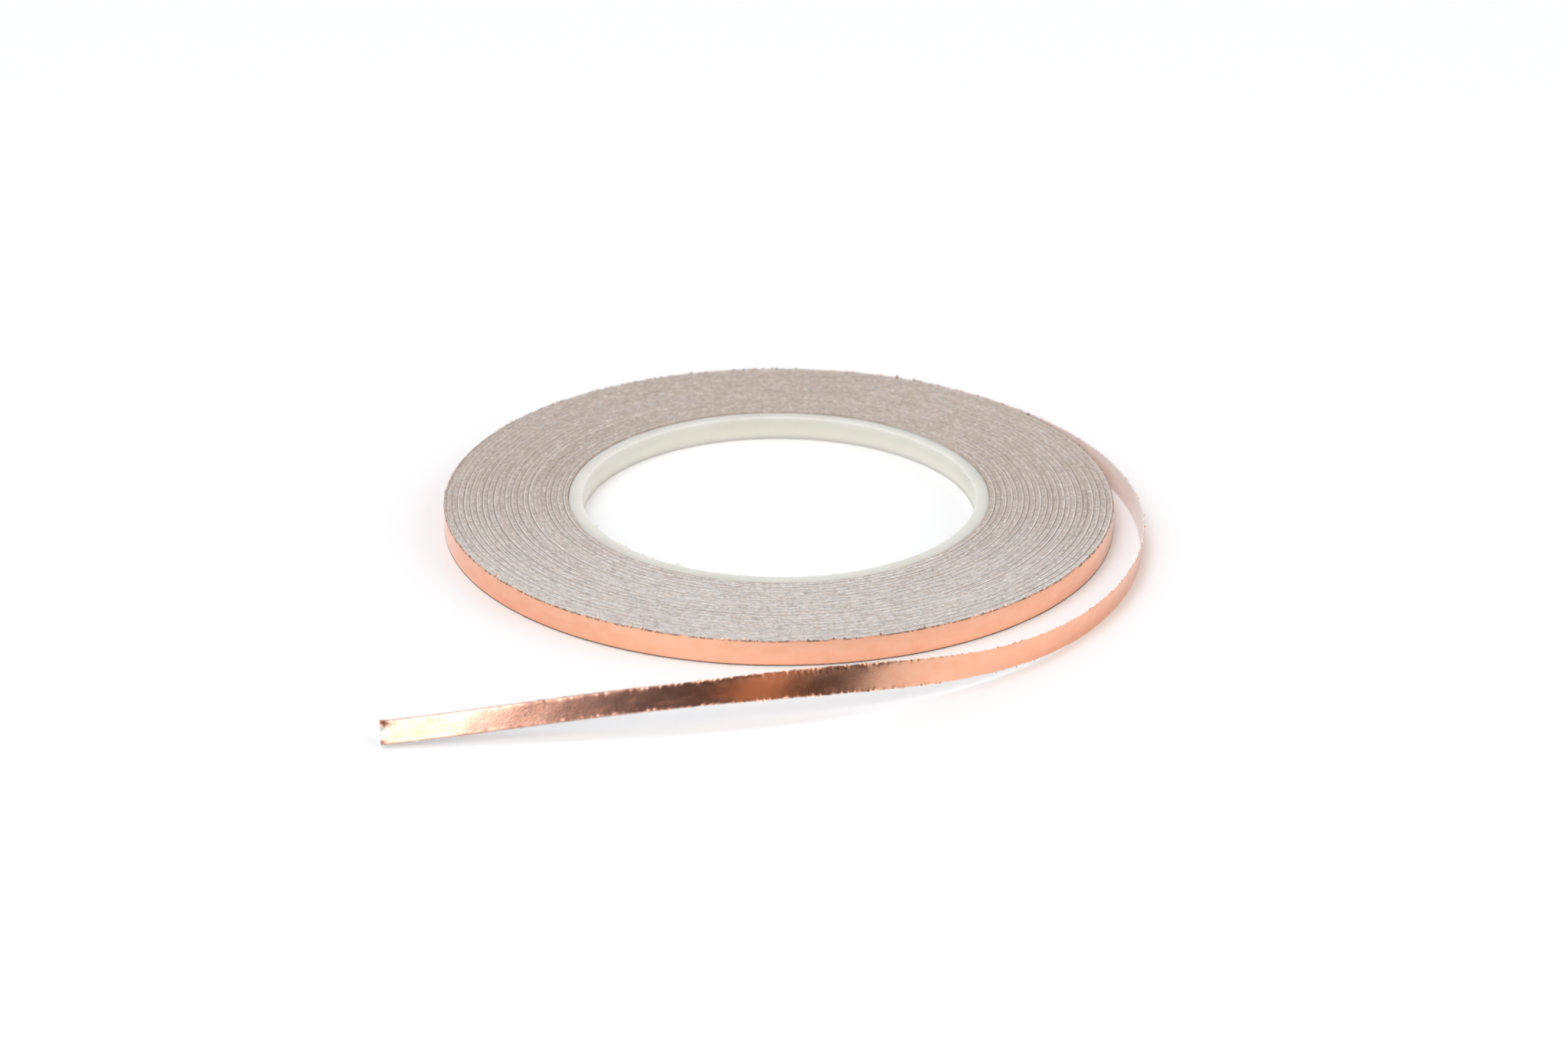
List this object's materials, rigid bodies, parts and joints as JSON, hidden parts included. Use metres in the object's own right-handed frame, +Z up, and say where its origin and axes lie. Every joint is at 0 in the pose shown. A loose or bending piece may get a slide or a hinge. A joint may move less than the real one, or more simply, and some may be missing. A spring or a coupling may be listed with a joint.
{
  "type": "copper foil tape roll",
  "caption": "Flat roll of narrow copper foil tape on a plain plastic core ring, with a release liner and a loose curled free end.",
  "frame": {"origin": "on the roll's axis, in the plane of the lower face of the core ring, which the roll rests on", "axes": "+Z up along the roll's axis; +X to the right and -Y towards the front, where the loose end of the tape lies"},
  "size_m": [0.1362, 0.1603, 0.0082],
  "materials": {
    "core_plastic": "natural, slightly translucent moulded or cut plastic",
    "copper_foil": "bright rolled copper, satin with fine rolling lines",
    "clear_adhesive": "clear tacky acrylic film",
    "release_liner": "smooth white release paper"
  },
  "bodies": {
    "roll": {"core_ring": "core_plastic", "start_tab": "clear_adhesive", "wound_liner": "release_liner", "wound_adhesive": "clear_adhesive", "wound_foil": "copper_foil", "outer_turn_liner": "release_liner", "outer_turn_adhesive": "clear_adhesive", "outer_turn_foil": "copper_foil"},
    "tail_1": {"tail_liner_1": "release_liner", "tail_adhesive_1": "clear_adhesive", "tail_foil_1": "copper_foil"},
    "tail_2": {"tail_liner_2": "release_liner", "tail_adhesive_2": "clear_adhesive", "tail_foil_2": "copper_foil"},
    "tail_3": {"tail_liner_3": "release_liner", "tail_adhesive_3": "clear_adhesive", "tail_foil_3": "copper_foil"},
    "tail_4": {"tail_liner_4": "release_liner", "tail_adhesive_4": "clear_adhesive", "tail_foil_4": "copper_foil"},
    "tail_5": {"tail_liner_5": "release_liner", "tail_adhesive_5": "clear_adhesive", "tail_foil_5": "copper_foil"},
    "tail_6": {"tail_liner_6": "release_liner", "tail_adhesive_6": "clear_adhesive", "tail_foil_6": "copper_foil"},
    "tail_7": {"tail_liner_7": "release_liner", "tail_adhesive_7": "clear_adhesive", "tail_foil_7": "copper_foil"},
    "tail_8": {"tail_liner_8": "release_liner", "tail_adhesive_8": "clear_adhesive", "tail_foil_8": "copper_foil"},
    "tail_9": {"tail_liner_9": "release_liner", "tail_adhesive_9": "clear_adhesive", "tail_foil_9": "copper_foil"},
    "foil_flap": {"flap_adhesive": "clear_adhesive", "flap_foil": "copper_foil"}
  },
  "joints": [
    {"name": "tail_peel", "type": "hinge", "parent": "roll", "child": "tail_1", "pos_m": [0.03556, 0.05414, 0.00012], "axis": [0, 0, 1], "range_deg": [0, 90]},
    {"name": "tail_uncurl", "type": "hinge", "parent": "tail_1", "child": "tail_2", "pos_m": [0.05396, 0.03695, 0.00012], "axis": [0, 0, 1], "range_deg": [0, 19.48]},
    {"name": "tail_flex_2", "type": "hinge", "parent": "tail_2", "child": "tail_3", "pos_m": [0.06558, 0.01461, 0.00012], "axis": [0, 0, 1], "range_deg": [0, 19.48]},
    {"name": "tail_flex_3", "type": "hinge", "parent": "tail_3", "child": "tail_4", "pos_m": [0.06908, -0.01032, 0.00012], "axis": [0, 0, 1], "range_deg": [0, 19.48]},
    {"name": "tail_flex_4", "type": "hinge", "parent": "tail_4", "child": "tail_5", "pos_m": [0.06406, -0.03499, 0.00012], "axis": [0, 0, 1], "range_deg": [0, 19.48]},
    {"name": "tail_flex_5", "type": "hinge", "parent": "tail_5", "child": "tail_6", "pos_m": [0.0511, -0.05658, 0.00022], "axis": [0, 0, 1], "range_deg": [0, 19.31]},
    {"name": "tail_flex_6", "type": "hinge", "parent": "tail_6", "child": "tail_7", "pos_m": [0.03178, -0.07275, 0.00188], "axis": [0, 0, 1], "range_deg": [0, 15.67]},
    {"name": "tail_flex_7", "type": "hinge", "parent": "tail_7", "child": "tail_8", "pos_m": [0.00876, -0.08312, 0.00404], "axis": [0, 0, 1], "range_deg": [0, 10.7]},
    {"name": "tail_twist", "type": "hinge", "parent": "tail_8", "child": "tail_9", "pos_m": [-0.01619, -0.08714, 0.00589], "axis": [-0.9848, -0.171, -0.0297], "range_deg": [-54, 30]},
    {"name": "foil_peel", "type": "hinge", "parent": "tail_9", "child": "foil_flap", "pos_m": [-0.04088, -0.09249, 0.00283], "axis": [-0.1465, 0.8097, 0.5683], "range_deg": [0, 120]}
  ],
  "couplings": [
    {"joint": "tail_flex_2", "follows": "tail_uncurl", "ratio": 1},
    {"joint": "tail_flex_3", "follows": "tail_uncurl", "ratio": 1},
    {"joint": "tail_flex_4", "follows": "tail_uncurl", "ratio": 1},
    {"joint": "tail_flex_5", "follows": "tail_uncurl", "ratio": 0.99127},
    {"joint": "tail_flex_6", "follows": "tail_uncurl", "ratio": 0.80441},
    {"joint": "tail_flex_7", "follows": "tail_uncurl", "ratio": 0.54928}
  ]
}
